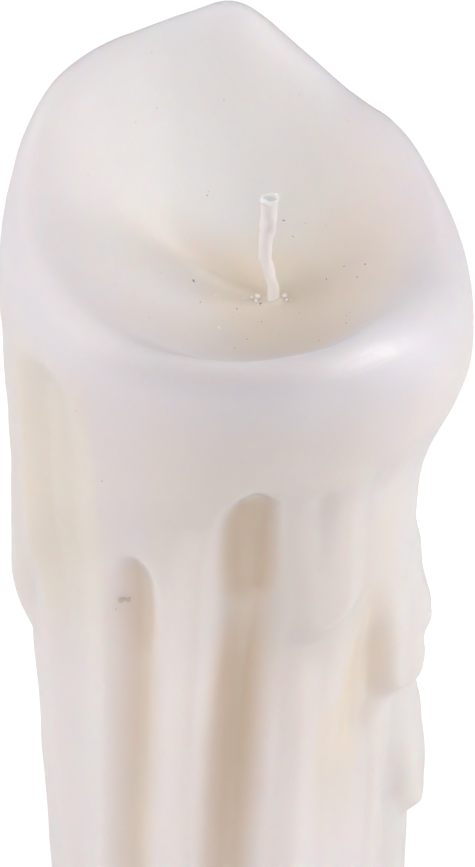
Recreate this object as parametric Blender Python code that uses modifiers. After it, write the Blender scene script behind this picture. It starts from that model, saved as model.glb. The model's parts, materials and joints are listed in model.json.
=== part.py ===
"""A melted pillar candle.

Metres, +Z up. The origin is the middle of the base, the front looks towards -Y and the left is -X.
The candle is three pieces: the cast wax body with the wax that has run down it, the waxed cotton wick
that stands through it, and the sheet metal tab that holds the wick's foot in a recess of the base.

The wax body is one closed sheet. One side of the sheet goes round the candle, and the other follows
the candle's section: up the outside, over the rim, down the melt bowl, down the wick's bore and out
across the base. Sizes in the tables are millimetres, and directions are azimuths in degrees: 0 is the
front, 90 the right.
"""

from collections import namedtuple

import bmesh
import bpy
import numpy as np

MM = 0.001

# ---- driving dimensions ----
PILLAR_RADIUS = 35.0      # the cast pillar, under the wax that ran down it
SKIN_RADIUS = 39.5        # where the widths of drips and grooves are measured
EDGE_ROUND = 1.5          # at the foot of the pillar
GAP = 0.3                 # clearance between separate pieces

BOWL_FLOOR = 188.0        # height of the bowl at the wick
WICK_OFFSET = 6.4         # how far to the right the wick stands at the bowl floor
WICK_RADIUS = 1.3
WICK_BOTTOM = 0.6
WICK_LEAN = 1.5           # power of the wick's drift to the right as it rises

TAB_RADIUS = 8.0
TAB_THICKNESS = 0.4
TAB_BOTTOM = 0.3          # the candle stands on its wax, so the tab stays above the floor
TAB_NECK_WALL = 0.4       # the neck is the tab's short tube, crimped round the wick
TAB_NECK_TOP = 7.0

# ---- how finely the body is cut into faces ----
COLUMNS = 96
SIDE_LEVELS = np.concatenate([np.linspace(0.0, 0.45, 9), np.linspace(0.45, 1.0, 22)[1:]])
ROUND_STEPS = 5
BOWL_LEVELS = np.array([0.93, 0.84, 0.73, 0.61, 0.48, 0.35, 0.22, 0.1, 0.0])
BORE_STEPS = 6
TAB_SIDES = 32
MERGE_DISTANCE = 1e-7      # metres
SHARP_ANGLE = np.radians(60)

# ---- the rim and the bowl, as values at a few azimuths ----
CREST_HEIGHT = {
    -180: 228.0, -165: 226.5, -150: 224.8, -132: 223.9, -110: 220.6, -90: 212.5, -60: 206.5, -30: 204.8,
    0: 205.0, 30: 204.2, 60: 202.0, 90: 201.2, 108: 205.0, 128: 210.5, 147: 213.4, 162: 219.4,
}
CREST_RADIUS = {
    -180: 36.5, -132: 36.0, -90: 35.8, -60: 35.8, -30: 37.2, 0: 38.5, 22: 37.6, 45: 35.4, 60: 34.4, 90: 34.6,
    128: 35.2,
}
SHOULDER_DROP = {-180: 18.0, -90: 20.0, -60: 16.0, -30: 7.5, 0: 5.0, 20: 5.0, 45: 10.0, 70: 17.0, 100: 20.0}
RIM_ROUNDNESS = {-180: 1.8, -130: 1.6, -90: 1.4, -40: 1.35, 0: 1.3, 30: 1.4, 60: 1.9}
BOWL_STEEPNESS = {-180: 2.0, -120: 1.95, -80: 1.9, -30: 2.2, 0: 2.4, 30: 2.4, 60: 2.4, 100: 2.4}
EDGE_STEEPNESS = 2.2      # how much nearer the rim its ups and downs stay than the bowl's own slope
DISH_MIDDLE = 212.0       # the bowl alone is a dish whose edge is a tilted circle
DISH_TILT = 12.0
DISH_HIGH_SIDE = -150

# the fold in the bowl, which leaves the wick towards the back left and bends round to the left:
# distance from the wick, azimuth, depth and width
CREASE = [
    (1.5, -160, 0.0, 1.8), (5.0, -150, 1.8, 2.8), (8.4, -136, 2.5, 3.4), (12.5, -124, 2.3, 4.0),
    (16.0, -112, 1.6, 4.8), (20.0, -103, 0.8, 5.6), (25.0, -98, 0.2, 6.4), (30.0, -95, 0.0, 7.0),
]

# ---- the wax over the pillar: a thick collar below the rim, and the sheet that runs on down from it ----
COLLAR_SKIN = {-180: 7.0, -110: 7.4, -60: 7.0, -15: 6.6, 30: 6.8, 65: 7.4, 90: 7.6, 128: 7.2}
COLLAR_FOOT = {
    -180: 170, -132: 155, -110: 130, -90: 118, -60: 150, -30: 165, 0: 170, 48: 173, 65: 171, 77: 167,
    90: 163, 130: 165,
}
COLLAR_FADE = {-180: 20, -110: 20, -90: 12, -60: 20, 30: 18, 65: 24, 90: 35, 130: 24}
RUN_SKIN = {
    -180: 4.0, -132: 4.5, -90: 5.9, -60: 5.2, 0: 4.8, 30: 3.4, 48: 1.6, 65: 0.2, 90: -0.4, 108: 0.6,
    130: 2.2,
}

# A run is wax standing proud in a long round-ended shape, and one with a negative rise is a groove.
# Its rows are height, azimuth, half width and rise, from its top end to its foot. Then come the widths
# over which it fades out at its left, right, top and foot. A foot at BELOW goes on past the base.
Run = namedtuple("Run", "rows left right top foot")
BELOW = -20

RUNS = {
    "wide_left_groove": Run(
        [(196, -52, 9.0, -1.3), (185, -52, 11.0, -2.1), (155, -53, 11.0, -2.2), (110, -54, 9.5, -1.6),
         (60, -54, 8.0, -1.0), (BELOW, -54, 8.0, -0.8)], left=9, right=9, top=6, foot=5),
    "left_front_groove": Run(
        [(158.5, -27.5, 4.0, -1.6), (151, -27.4, 4.9, -2.0), (140, -28.2, 5.0, -1.4), (128, -29.5, 4, -0.4)],
        left=4.5, right=3.6, top=2.2, foot=8),
    "left_front_valley": Run(
        [(157, -28.5, 6.0, -1.0), (146, -28, 7.8, -2.4), (130, -28, 8.0, -3.8), (110, -29.5, 8.0, -4.2),
         (85, -32, 8.0, -4.0), (BELOW, -34, 7.0, -2.0)], left=7.5, right=8, top=4, foot=5),
    "middle_rib": Run(
        [(170, -9, 4.0, 0.6), (160, -10, 5.5, 1.4), (148, -11, 6.0, 1.9), (120, -13, 6.4, 2.2),
         (85, -14.5, 6.4, 2.2), (BELOW, -16, 5.5, 1.4)], left=6.5, right=5.5, top=9, foot=5),
    "front_groove": Run(
        [(178.5, 5.0, 4.8, -2.8), (171, 2.8, 6.0, -3.4), (160, 2.4, 6.4, -3.0), (146, 2.0, 6.0, -1.0)],
        left=4.5, right=2.8, top=1.8, foot=10),
    "front_valley": Run(
        [(175, 4.0, 6.0, -1.6), (162, 2.4, 8.0, -2.8), (150, 2.2, 8.4, -3.8), (135, 0.4, 7.9, -5.6),
         (110, -1.6, 7.5, -6.0), (85, -3.2, 7.6, -5.1), (BELOW, -5, 7.3, -2.4)],
        left=7.5, right=6.5, top=4, foot=5),
    "right_front_rib": Run(
        [(136, 17, 5.0, 0.6), (124, 15.5, 7.0, 1.8), (100, 14.5, 7.5, 2.4), (80, 14, 7.5, 2.4),
         (BELOW, 13, 6.5, 1.6)], left=6, right=7, top=7, foot=5),
    "wide_drip": Run(
        [(185, 23, 8.5, 0.2), (165, 24, 9.6, 1.5), (150, 23.5, 9.8, 2.1), (138.5, 21.5, 9.2, 2.4)],
        left=7, right=6, top=8, foot=5.5),
    "wide_drip_channel": Run(
        [(177, 21, 3.8, -0.8), (168, 20.5, 4.2, -0.7), (154, 20, 3.4, -0.2)],
        left=4, right=4, top=2.4, foot=6),
    "right_hollow": Run(
        [(148, 40, 8.0, -0.4), (134, 41, 10.5, -2.2), (122, 41, 12.0, -3.6), (112, 40, 12.0, -3.0),
         (98, 37, 9.0, -0.6)], left=12, right=8, top=8, foot=9),
    "right_front_groove": Run(
        [(116, 35, 8.0, -0.4), (98, 36, 9.0, -0.7), (60, 36, 9.0, -0.8), (BELOW, 36, 9.0, -0.7)],
        left=6, right=4, top=8, foot=5),
    "right_sheet": Run(
        [(130, 76, 12, 1.6), (100, 74, 13, 2.0), (60, 74, 13, 2.2), (BELOW, 74, 13, 2.0)],
        left=8, right=8, top=10, foot=8),
    "right_drip": Run(
        [(142, 78, 8.0, 0.5), (127, 80, 11, 1.8), (112, 82, 11, 2.3)],
        left=8, right=6, top=9, foot=4),
    "ledge": Run(
        [(140, 65, 10.0, 0.3), (125, 63, 12.5, 1.5), (107.5, 62, 13.0, 3.0)],
        left=10, right=9, top=9, foot=2.6),
    "low_right_drip": Run(
        [(100, 75, 9.0, 0.3), (88, 77, 11, 1.3), (72, 78, 11.5, 3.0), (62, 79, 11, 3.3)],
        left=6.5, right=6, top=9, foot=4),
    "low_right_dent": Run(
        [(96, 56, 4.0, -0.3), (86, 57, 6.0, -0.8), (72, 58, 6.0, -0.9)], left=6, right=5, top=6, foot=4),
    "left_drip": Run(
        [(205, -86, 9.0, 0.0), (170, -86, 9.0, 0.2), (150, -86, 9.0, 0.6), (127, -86, 9.5, 1.7),
         (111, -86, 9.0, 2.0)], left=7, right=6, top=12, foot=9),
    "back_right_groove": Run(
        [(170, 112, 5.5, -1.2), (140, 113, 6.0, -2.2), (60, 112, 5.5, -2.0), (BELOW, 112, 5.0, -1.4)],
        left=5, right=5, top=5, foot=5),
    "back_right_drip": Run(
        [(160, 129, 7.0, 0.8), (120, 129, 7.0, 2.0), (98, 130, 6.5, 2.6)],
        left=4, right=4, top=12, foot=4),
    "back_deep_groove": Run(
        [(183, 144, 4.6, -4.6), (150, 145, 5.0, -4.8), (100, 147, 4.8, -4.0), (BELOW, 149, 4.4, -2.4)],
        left=4, right=3.4, top=1.8, foot=5),
    "back_wide_groove": Run(
        [(160, 171, 6.5, -2.4), (120, 172, 6.5, -3.0), (60, 173, 6.0, -2.2), (BELOW, 173, 6.0, -1.4)],
        left=5, right=6, top=4, foot=5),
    "back_drip": Run(
        [(170, -171, 6.5, 0.6), (130, -171, 6.5, 1.8), (112, -170, 6.0, 2.4)],
        left=4, right=3.5, top=10, foot=3.4),
    "back_left_deep_groove": Run(
        [(181, -154, 4.4, -4.6), (150, -154, 4.8, -4.8), (100, -153, 4.8, -4.2),
         (BELOW, -150, 4.4, -2.4)], left=3.4, right=4.4, top=1.8, foot=5),
    "back_left_groove": Run(
        [(164, -129, 4.0, -3.4), (130, -129, 4.4, -4.0), (80, -128, 4.4, -3.2), (BELOW, -126, 4.0, -2.0)],
        left=4, right=3, top=2.4, foot=5),
    "left_back_groove": Run(
        [(150, -106, 5.0, -2.0), (110, -106, 5.5, -2.6), (60, -107, 5.5, -2.0), (BELOW, -107, 5.0, -1.4)],
        left=5, right=5, top=5, foot=5),
}

# the wick above the bowl floor: its bends, as height, x, y and radius
WICK_BENDS = [
    (191.0, 6.4, 0.0, 1.15), (194.0, 5.8, 0.0, 1.15), (196.0, 5.3, 0.0, 1.15), (198.0, 4.9, 0.0, 1.2),
    (201.0, 5.0, 0.0, 1.25), (205.0, 5.4, 0.0, 1.4), (211.0, 5.7, 0.0, 1.5),
]


# ---- curves ----
def smooth_curve(x, knots, values):
    """Cubics between the knots, with each knot's slope taken from a parabola through its neighbours."""
    knots, values = np.array(knots, float), np.array(values, float)
    slopes = np.gradient(values, knots)
    x = np.clip(x, knots[0], knots[-1])
    i = np.clip(np.searchsorted(knots, x, side="right") - 1, 0, len(knots) - 2)
    step = knots[i + 1] - knots[i]
    t = (x - knots[i]) / step
    ends = (1 + 2 * t) * (1 - t) ** 2 * values[i] + t * t * (3 - 2 * t) * values[i + 1]
    return ends + step * (t * (1 - t) ** 2 * slopes[i] + t * t * (t - 1) * slopes[i + 1])


def around(table, azimuth):
    """The value at an azimuth on a closed smooth curve through a table's values."""
    knots = sorted(table)
    values = [table[k] for k in knots]
    knots = [knots[-2] - 360, knots[-1] - 360] + knots + [knots[0] + 360, knots[1] + 360]
    values = values[-2:] + values + values[:2]
    return smooth_curve((azimuth + 180) % 360 - 180, knots, values)


def ease(x):
    """0 below 0 and 1 above 1, with a smooth step between."""
    x = np.clip(x, 0, 1)
    return x * x * (3 - 2 * x)


# ---- the form of the wax ----
def run_rise(run, azimuth, height):
    """How proud a run stands: its rise, faded by the distance in from its round-ended outline."""
    rows = run.rows[::-1]
    levels = [row[0] for row in rows]
    middle, half_width, rise = (smooth_curve(height, levels, [row[k] for row in rows]) for k in (1, 2, 3))
    across = SKIN_RADIUS * np.radians((azimuth - middle + 180) % 360 - 180)
    over_top = height - (levels[-1] - half_width)
    under_foot = (levels[0] + half_width) - height
    along = np.maximum(0, np.maximum(over_top, under_foot))
    reach = np.hypot(across, along) + 1e-9
    endwise = (along / reach) ** 2
    side_fade = np.where(across < 0, run.left, run.right)
    end_fade = np.where(over_top > under_foot, run.top, run.foot)
    fade = np.minimum(side_fade * (1 - endwise) + end_fade * endwise, half_width)
    return rise * ease((half_width - reach) / fade)


def side_radius(azimuth, height):
    """The pillar, plus the collar or the thinner sheet under it, plus every drip and groove."""
    collar, sheet = around(COLLAR_SKIN, azimuth), around(RUN_SKIN, azimuth)
    foot, fade = around(COLLAR_FOOT, azimuth), around(COLLAR_FADE, azimuth)
    skin = sheet + (collar - sheet) * ease((height - foot) / fade + 0.5)
    return PILLAR_RADIUS + skin + sum(run_rise(run, azimuth, height) for run in RUNS.values())


def bowl_height(azimuth, share):
    """The bowl a share of the way from the wick to the crest: a tilted dish, then the rim's edge."""
    steepness, roundness = around(BOWL_STEEPNESS, azimuth), around(RIM_ROUNDNESS, azimuth)
    dish_edge = DISH_MIDDLE + DISH_TILT * np.cos(np.radians(azimuth - DISH_HIGH_SIDE))
    dish = 1 - (1 - share ** steepness) ** roundness
    edge = 1 - (1 - share ** (steepness * EDGE_STEEPNESS)) ** roundness
    crest = around(CREST_HEIGHT, azimuth)
    return BOWL_FLOOR + (dish_edge - BOWL_FLOOR) * dish + (crest - dish_edge) * edge


def crease_depth(azimuth, reach):
    """A bent valley: at each distance from the wick it has an azimuth, a depth and a width."""
    reaches = [row[0] for row in CREASE]
    middle, depth, width = (smooth_curve(reach, reaches, [row[k] for row in CREASE]) for k in (1, 2, 3))
    across = reach * np.radians((azimuth - middle + 180) % 360 - 180)
    return depth * np.exp(-(across / width) ** 2)


def wick_drift(height):
    """How far right of the middle the wick is, below the bowl floor."""
    return WICK_OFFSET * (height / BOWL_FLOOR) ** WICK_LEAN


# ---- the rings of the body, each as points by column and ring ----
def rings(azimuth, radius, height, shift=0.0):
    """Points at a radius and height round an axis that is shifted along x."""
    radius, height, shift, turn = np.broadcast_arrays(radius, height, shift, np.radians(azimuth))
    return np.stack([shift + radius * np.sin(turn), -radius * np.cos(turn), height], axis=-1)


def outside(azimuth):
    """From the foot of the pillar to where the shoulder starts to turn over."""
    top = around(CREST_HEIGHT, azimuth) - around(SHOULDER_DROP, azimuth)
    height = EDGE_ROUND + SIDE_LEVELS * (top - EDGE_ROUND)
    return rings(azimuth, side_radius(azimuth, height), height)


def shoulder(azimuth):
    """A quarter of an ellipse that leaves the side upright and meets the crest level."""
    turn = np.linspace(0, np.pi / 2, ROUND_STEPS + 1)[1:]
    drop = around(SHOULDER_DROP, azimuth)
    height = around(CREST_HEIGHT, azimuth) - drop * (1 - np.sin(turn))
    crest = around(CREST_RADIUS, azimuth)
    return rings(azimuth, crest + (side_radius(azimuth, height) - crest) * np.cos(turn), height)


def bowl(azimuth):
    """From the crest down to the wick, with the ring's middle moving over to the wick."""
    bore = WICK_RADIUS + GAP
    radius = bore + (around(CREST_RADIUS, azimuth) - bore) * BOWL_LEVELS
    height = bowl_height(azimuth, BOWL_LEVELS) - crease_depth(azimuth, radius)
    return rings(azimuth, radius, height, WICK_OFFSET * (1 - BOWL_LEVELS))


def bore(azimuth):
    """The wick's bore, down to where it widens for the tab's neck."""
    top_of_neck_bore = TAB_NECK_TOP + GAP
    height = np.linspace(BOWL_FLOOR, top_of_neck_bore, BORE_STEPS + 1)[1:]
    return rings(azimuth, WICK_RADIUS + GAP, height, wick_drift(height))


def underside(azimuth):
    """The neck's bore, the tab's recess and the flat base, out to where its edge rounds up."""
    neck_bore = WICK_RADIUS + GAP + TAB_NECK_WALL + GAP
    recess_radius = TAB_RADIUS + GAP
    recess_top = TAB_BOTTOM + TAB_THICKNESS + GAP
    radius = np.array([neck_bore, neck_bore, recess_radius, recess_radius])
    height = np.array([TAB_NECK_TOP + GAP, recess_top, recess_top, 0.0])
    inner = rings(azimuth, radius, height)
    edge = rings(azimuth, side_radius(azimuth, EDGE_ROUND) - EDGE_ROUND, 0.0)
    return np.concatenate([inner, edge], axis=1)


# ---- objects ----
def finish(name, colour, roughness, metallic=0.0):
    """A material with one colour, roughness and metallic value."""
    material = bpy.data.materials.new(name)
    material.use_nodes = True
    shader = material.node_tree.nodes["Principled BSDF"]
    shader.inputs["Base Color"].default_value = (*colour, 1)
    shader.inputs["Roughness"].default_value = roughness
    shader.inputs["Metallic"].default_value = metallic
    return material


def add(name, data, material, collection):
    """An object made from a mesh or a curve, with its material, in the candle's collection."""
    data.materials.append(material)
    piece = bpy.data.objects.new(name, data)
    collection.objects.link(piece)
    return piece


def make_wax_body(collection):
    """Bend a grid so that both its directions close on themselves."""
    azimuth = np.linspace(-180, 180, COLUMNS, endpoint=False)[:, None]
    sections = [outside(azimuth), shoulder(azimuth), bowl(azimuth), bore(azimuth), underside(azimuth)]
    points = np.concatenate(sections, axis=1) * MM
    stations = points.shape[1]
    mesh = bpy.data.meshes.new("wax_body")
    sheet = bmesh.new()
    bmesh.ops.create_grid(sheet, x_segments=COLUMNS, y_segments=stations, size=0.5)
    for vertex in sheet.verts:
        column = round((vertex.co.x + 0.5) * COLUMNS) % COLUMNS
        station = round((vertex.co.y + 0.5) * stations) % stations
        vertex.co = points[column, station]
    bmesh.ops.remove_doubles(sheet, verts=sheet.verts, dist=MERGE_DISTANCE)
    bmesh.ops.recalc_face_normals(sheet, faces=sheet.faces)
    sheet.to_mesh(mesh)
    sheet.free()
    mesh.shade_smooth()
    mesh.set_sharp_from_angle(angle=SHARP_ANGLE)
    add("wax_body", mesh, finish("ivory_wax", (0.80, 0.75, 0.70), 0.4), collection)


def make_wick(collection):
    """A tube up the bore, which bends where it leaves the wax."""
    stem = np.linspace(WICK_BOTTOM, BOWL_FLOOR, BORE_STEPS * 2 + 1)
    path = [(height, wick_drift(height), 0.0, WICK_RADIUS) for height in stem] + WICK_BENDS
    curve = bpy.data.curves.new("wick", "CURVE")
    curve.dimensions = "3D"
    curve.bevel_depth = WICK_RADIUS * MM
    curve.bevel_resolution = 2
    curve.use_fill_caps = True
    spline = curve.splines.new("POLY")
    spline.points.add(len(path) - 1)
    for point, (height, x, y, radius) in zip(spline.points, path):
        point.co = (x * MM, y * MM, height * MM, 1)
        point.radius = radius / WICK_RADIUS
    add("wick", curve, finish("waxed_cotton", (0.82, 0.78, 0.72), 0.55), collection)


def make_wick_tab(collection):
    """A disc with a neck round the wick, turned from its section."""
    inner = WICK_RADIUS + GAP
    outer = inner + TAB_NECK_WALL
    disc_top = TAB_BOTTOM + TAB_THICKNESS
    section = [(inner, TAB_BOTTOM), (inner, TAB_NECK_TOP), (outer, TAB_NECK_TOP), (outer, disc_top),
               (TAB_RADIUS, disc_top), (TAB_RADIUS, TAB_BOTTOM)]
    mesh = bpy.data.meshes.new("wick_tab")
    edges = [(i, (i + 1) % len(section)) for i in range(len(section))]
    mesh.from_pydata([(radius * MM, 0, height * MM) for radius, height in section], edges, [])
    tab = add("wick_tab", mesh, finish("tinned_steel", (0.62, 0.62, 0.60), 0.35, 1.0), collection)
    turn = tab.modifiers.new("turn", "SCREW")
    turn.steps = TAB_SIDES
    turn.render_steps = TAB_SIDES
    turn.use_merge_vertices = True
    turn.merge_threshold = MERGE_DISTANCE


def main():
    for old in list(bpy.data.objects):
        bpy.data.objects.remove(old)
    collection = bpy.data.collections.new("melted_candle")
    bpy.context.scene.collection.children.link(collection)
    make_wax_body(collection)
    make_wick(collection)
    make_wick_tab(collection)


main()
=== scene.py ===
# %% [markdown]
# # A melted pillar candle
#
# The candle is a cast pillar of cream wax that has burnt down and run. Its top has sunk into a bowl
# round a short bent wick, its rim stands high at the back, and a collar of soft wax hangs over the
# sides and runs down them in drips, with grooves left between the drips.
#
# The solids of the candle come first and stay as they are. Everything made here is fitted to them.

# %% Load the frame
import json
from collections import namedtuple

import bpy
import numpy as np
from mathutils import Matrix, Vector

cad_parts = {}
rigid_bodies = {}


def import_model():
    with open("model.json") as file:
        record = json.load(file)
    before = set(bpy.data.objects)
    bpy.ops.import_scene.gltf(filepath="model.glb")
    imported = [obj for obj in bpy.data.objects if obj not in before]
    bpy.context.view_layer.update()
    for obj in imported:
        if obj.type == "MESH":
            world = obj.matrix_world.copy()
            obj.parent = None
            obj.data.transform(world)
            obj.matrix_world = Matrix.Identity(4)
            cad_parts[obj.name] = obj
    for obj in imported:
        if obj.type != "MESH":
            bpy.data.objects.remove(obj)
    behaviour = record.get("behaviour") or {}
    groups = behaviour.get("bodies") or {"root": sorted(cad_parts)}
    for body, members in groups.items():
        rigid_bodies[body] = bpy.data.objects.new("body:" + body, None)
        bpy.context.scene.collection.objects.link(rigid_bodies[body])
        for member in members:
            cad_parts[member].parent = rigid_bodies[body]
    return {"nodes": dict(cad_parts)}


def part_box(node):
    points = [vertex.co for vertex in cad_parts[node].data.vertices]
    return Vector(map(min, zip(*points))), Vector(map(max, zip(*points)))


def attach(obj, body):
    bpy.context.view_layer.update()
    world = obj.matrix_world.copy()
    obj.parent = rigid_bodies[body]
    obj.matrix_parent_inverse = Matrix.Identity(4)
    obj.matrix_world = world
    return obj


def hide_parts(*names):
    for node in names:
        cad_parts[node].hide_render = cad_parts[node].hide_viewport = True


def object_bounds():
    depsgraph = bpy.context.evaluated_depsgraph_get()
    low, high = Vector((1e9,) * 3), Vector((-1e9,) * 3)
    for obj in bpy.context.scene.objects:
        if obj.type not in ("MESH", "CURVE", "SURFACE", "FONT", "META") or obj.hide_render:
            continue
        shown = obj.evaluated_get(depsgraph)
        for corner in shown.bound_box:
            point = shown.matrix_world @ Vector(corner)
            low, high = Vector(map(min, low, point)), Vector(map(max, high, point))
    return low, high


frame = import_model()
cad_low, cad_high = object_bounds()
MM = 0.001
print("solids:", sorted(frame["nodes"]), "height", round(cad_high.z / MM, 1), "mm")

# %% [markdown]
# ## Where the viewer stands
#
# Long lenses flatten a small thing and keep its sides upright. This one looks down on the candle by
# 40 degrees, so that the bowl shows as an open dish. The view is aimed a little under the bowl, and the
# distance is what fills the picture with the top of the candle.

# %% The camera
LENS = 100
LOOK_DOWN = np.radians(40)
CAMERA_DISTANCE = 452 * MM
AIM = Vector((0, 0, cad_high.z - 71 * MM))


def make_camera():
    data = bpy.data.cameras.new("camera")
    data.lens = LENS
    data.clip_start = 0.01
    camera = bpy.data.objects.new("camera", data)
    camera.location = AIM + CAMERA_DISTANCE * Vector((0, -np.cos(LOOK_DOWN), np.sin(LOOK_DOWN)))
    camera.rotation_euler = (np.pi / 2 - LOOK_DOWN, 0, 0)
    bpy.context.collection.objects.link(camera)
    bpy.context.scene.camera = camera
    return camera


camera = make_camera()
print("camera at", [round(v, 3) for v in camera.location])

# %% [markdown]
# ## A white table and soft light
#
# White wax shows its form only by where light is missing. So the lamps are broad and soft, and the
# strongest stand at the two sides. That leaves the front of the candle a shade darker than its flanks,
# and its grooves darker still. Weaker lamps in front, behind on the left and above fill the bowl. The
# colours are shown as they are, with no film curve, because a film curve turns a white thing grey.
#
# The camera sees the table and the sky nearly white. The wax sees them much darker, so that they don't
# flood its shadows with light. Only the table and the sky do this, and no piece of the candle does.

# %% The table, the lamps and the sky
TABLE_SIZE = 16.0
TABLE_LIFT = 0.45


def make_table():
    half = TABLE_SIZE / 2
    mesh = bpy.data.meshes.new("table")
    corners = [(-half, -half, 0), (half, -half, 0), (half, half, 0), (-half, half, 0)]
    mesh.from_pydata(corners, [], [(0, 1, 2, 3)])
    material = bpy.data.materials.new("white_table")
    material.use_nodes = True
    shader = material.node_tree.nodes["Principled BSDF"]
    shader.inputs["Base Color"].default_value = (0.92, 0.92, 0.92, 1)
    shader.inputs["Roughness"].default_value = 0.9
    shader.inputs["Emission Color"].default_value = (1, 1, 1, 1)
    path = material.node_tree.nodes.new("ShaderNodeLightPath")
    lift = material.node_tree.nodes.new("ShaderNodeMath")
    lift.operation = "MULTIPLY"
    lift.inputs[1].default_value = TABLE_LIFT
    material.node_tree.links.new(path.outputs["Is Camera Ray"], lift.inputs[0])
    material.node_tree.links.new(lift.outputs["Value"], shader.inputs["Emission Strength"])
    mesh.materials.append(material)
    table = bpy.data.objects.new("table", mesh)
    bpy.context.collection.objects.link(table)
    return table


LAMP_DISTANCE = 1.1
SIDE_POWER = 6.5          # the big lamp on the right, in watts; the left one has half of it
FILL_POWER = 2.0          # the lamps between a side and the front, behind on the left and above
FRONT_POWER = 1.0         # the lamps that face the front, kept weak
LAMPS = [
    ("right", 90, 25, (0.5, 1.0), SIDE_POWER), ("left", -90, 25, (0.5, 1.0), SIDE_POWER / 2),
    ("right_front", 50, 35, (0.6, 0.6), FILL_POWER), ("left_front", -60, 30, (0.6, 0.6), FILL_POWER),
    ("back_left", -135, 25, (0.6, 0.6), FILL_POWER), ("top", -45, 70, (0.6, 0.6), FILL_POWER),
    ("front_right", 15, 35, (0.6, 0.5), FRONT_POWER), ("front_left", -25, 35, (0.6, 0.5), FRONT_POWER),
    ("low_front", -10, 5, (0.8, 0.3), FRONT_POWER / 2),
]
SKY_ON_WAX = 0.1          # how bright the sky is to everything but the camera
SKY_SEEN = 0.95           # and to the camera, which sees it nearly white


def softbox(name, azimuth, elevation, size, power):
    """A lamp of some width and height round the candle: azimuth 0 is in front and 90 on the right."""
    data = bpy.data.lights.new(name, "AREA")
    data.shape = "RECTANGLE"
    data.size, data.size_y = size
    data.energy = power
    lamp = bpy.data.objects.new(name, data)
    turn, rise = np.radians(azimuth), np.radians(elevation)
    towards = Vector((np.cos(rise) * np.sin(turn), -np.cos(rise) * np.cos(turn), np.sin(rise)))
    lamp.location = AIM + LAMP_DISTANCE * towards
    lamp.rotation_euler = towards.to_track_quat("Z", "Y").to_euler()
    bpy.context.collection.objects.link(lamp)
    return lamp


table = make_table()
for name, azimuth, elevation, size, power in LAMPS:
    softbox(name, azimuth, elevation, size, power)
world = bpy.data.worlds.new("studio")
world.use_nodes = True
sky = world.node_tree.nodes["Background"]
seen = world.node_tree.nodes.new("ShaderNodeLightPath")
strength = world.node_tree.nodes.new("ShaderNodeMapRange")
strength.inputs["To Min"].default_value = SKY_ON_WAX
strength.inputs["To Max"].default_value = SKY_SEEN
world.node_tree.links.new(seen.outputs["Is Camera Ray"], strength.inputs["Value"])
world.node_tree.links.new(strength.outputs["Result"], sky.inputs["Strength"])
sky.inputs["Color"].default_value = (1, 1, 1, 1)
bpy.context.scene.world = world
bpy.context.scene.view_settings.view_transform = "Standard"
print("lamps:", len(bpy.data.lights))

# %% [markdown]
# ## Smooth curves from a few values
#
# Run wax has no corners, so each of its sizes is a smooth curve through a few values. A table gives the
# values at some azimuths, in millimetres and degrees, with 0 at the front and 90 on the right.

# %% Curves


def smooth_curve(x, knots, values):
    """Cubics between the knots, with each knot's slope taken from a parabola through its neighbours."""
    knots, values = np.array(knots, float), np.array(values, float)
    slopes = np.gradient(values, knots)
    x = np.clip(x, knots[0], knots[-1])
    i = np.clip(np.searchsorted(knots, x, side="right") - 1, 0, len(knots) - 2)
    step = knots[i + 1] - knots[i]
    t = (x - knots[i]) / step
    ends = (1 + 2 * t) * (1 - t) ** 2 * values[i] + t * t * (3 - 2 * t) * values[i + 1]
    return ends + step * (t * (1 - t) ** 2 * slopes[i] + t * t * (t - 1) * slopes[i + 1])


def around(values_at, azimuth):
    """The value at an azimuth on a closed smooth curve through a table's values."""
    knots = sorted(values_at)
    values = [values_at[k] for k in knots]
    knots = [knots[-2] - 360, knots[-1] - 360] + knots + [knots[0] + 360, knots[1] + 360]
    values = values[-2:] + values + values[:2]
    return smooth_curve((azimuth + 180) % 360 - 180, knots, values)


def ease(x):
    """0 below 0 and 1 above 1, with a smooth step between."""
    x = np.clip(x, 0, 1)
    return x * x * (3 - 2 * x)


# %% [markdown]
# ## The sizes of the wax
#
# The pillar has one radius. Over it lies a collar below the rim and a thinner sheet further down, each
# with its own thickness round the candle. The drips and grooves are added to that, one by one.

# %% The rim, the bowl, the collar and the sheet
wick_low, wick_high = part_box("wick")
PILLAR_RADIUS = 35.0
SKIN_RADIUS = 39.5
EDGE_ROUND = 1.5
PEAK = round(cad_high.z / MM, 1)

BOWL_FLOOR = 188.0
WICK_OFFSET = 6.4
WICK_RADIUS = 1.3
WICK_LEAN = 1.5

CREST_HEIGHT = {
    -180: 228.0, -165: 226.5, -150: 224.8, -132: 223.9, -110: 220.6, -90: 212.5, -60: 206.5, -30: 204.8,
    0: 205.0, 30: 204.2, 60: 202.0, 90: 201.2, 108: 205.0, 128: 210.5, 147: 213.4, 162: 219.4,
}
CREST_RADIUS = {
    -180: 36.5, -132: 36.0, -90: 35.8, -60: 35.8, -30: 37.2, 0: 38.5, 22: 37.6, 45: 35.4, 60: 34.4, 90: 34.6,
    128: 35.2,
}
SHOULDER_DROP = {-180: 18.0, -90: 20.0, -60: 16.0, -30: 7.5, 0: 5.0, 20: 5.0, 45: 10.0, 70: 17.0, 100: 20.0}
RIM_ROUNDNESS = {-180: 1.8, -130: 1.6, -90: 1.4, -40: 1.35, 0: 1.3, 30: 1.4, 60: 1.9}
BOWL_STEEPNESS = {-180: 2.0, -120: 1.95, -80: 1.9, -30: 2.2, 0: 2.4, 30: 2.4, 60: 2.4, 100: 2.4}
EDGE_STEEPNESS = 2.2
DISH_MIDDLE = 212.0
DISH_TILT = 12.0
DISH_HIGH_SIDE = -150

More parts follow.
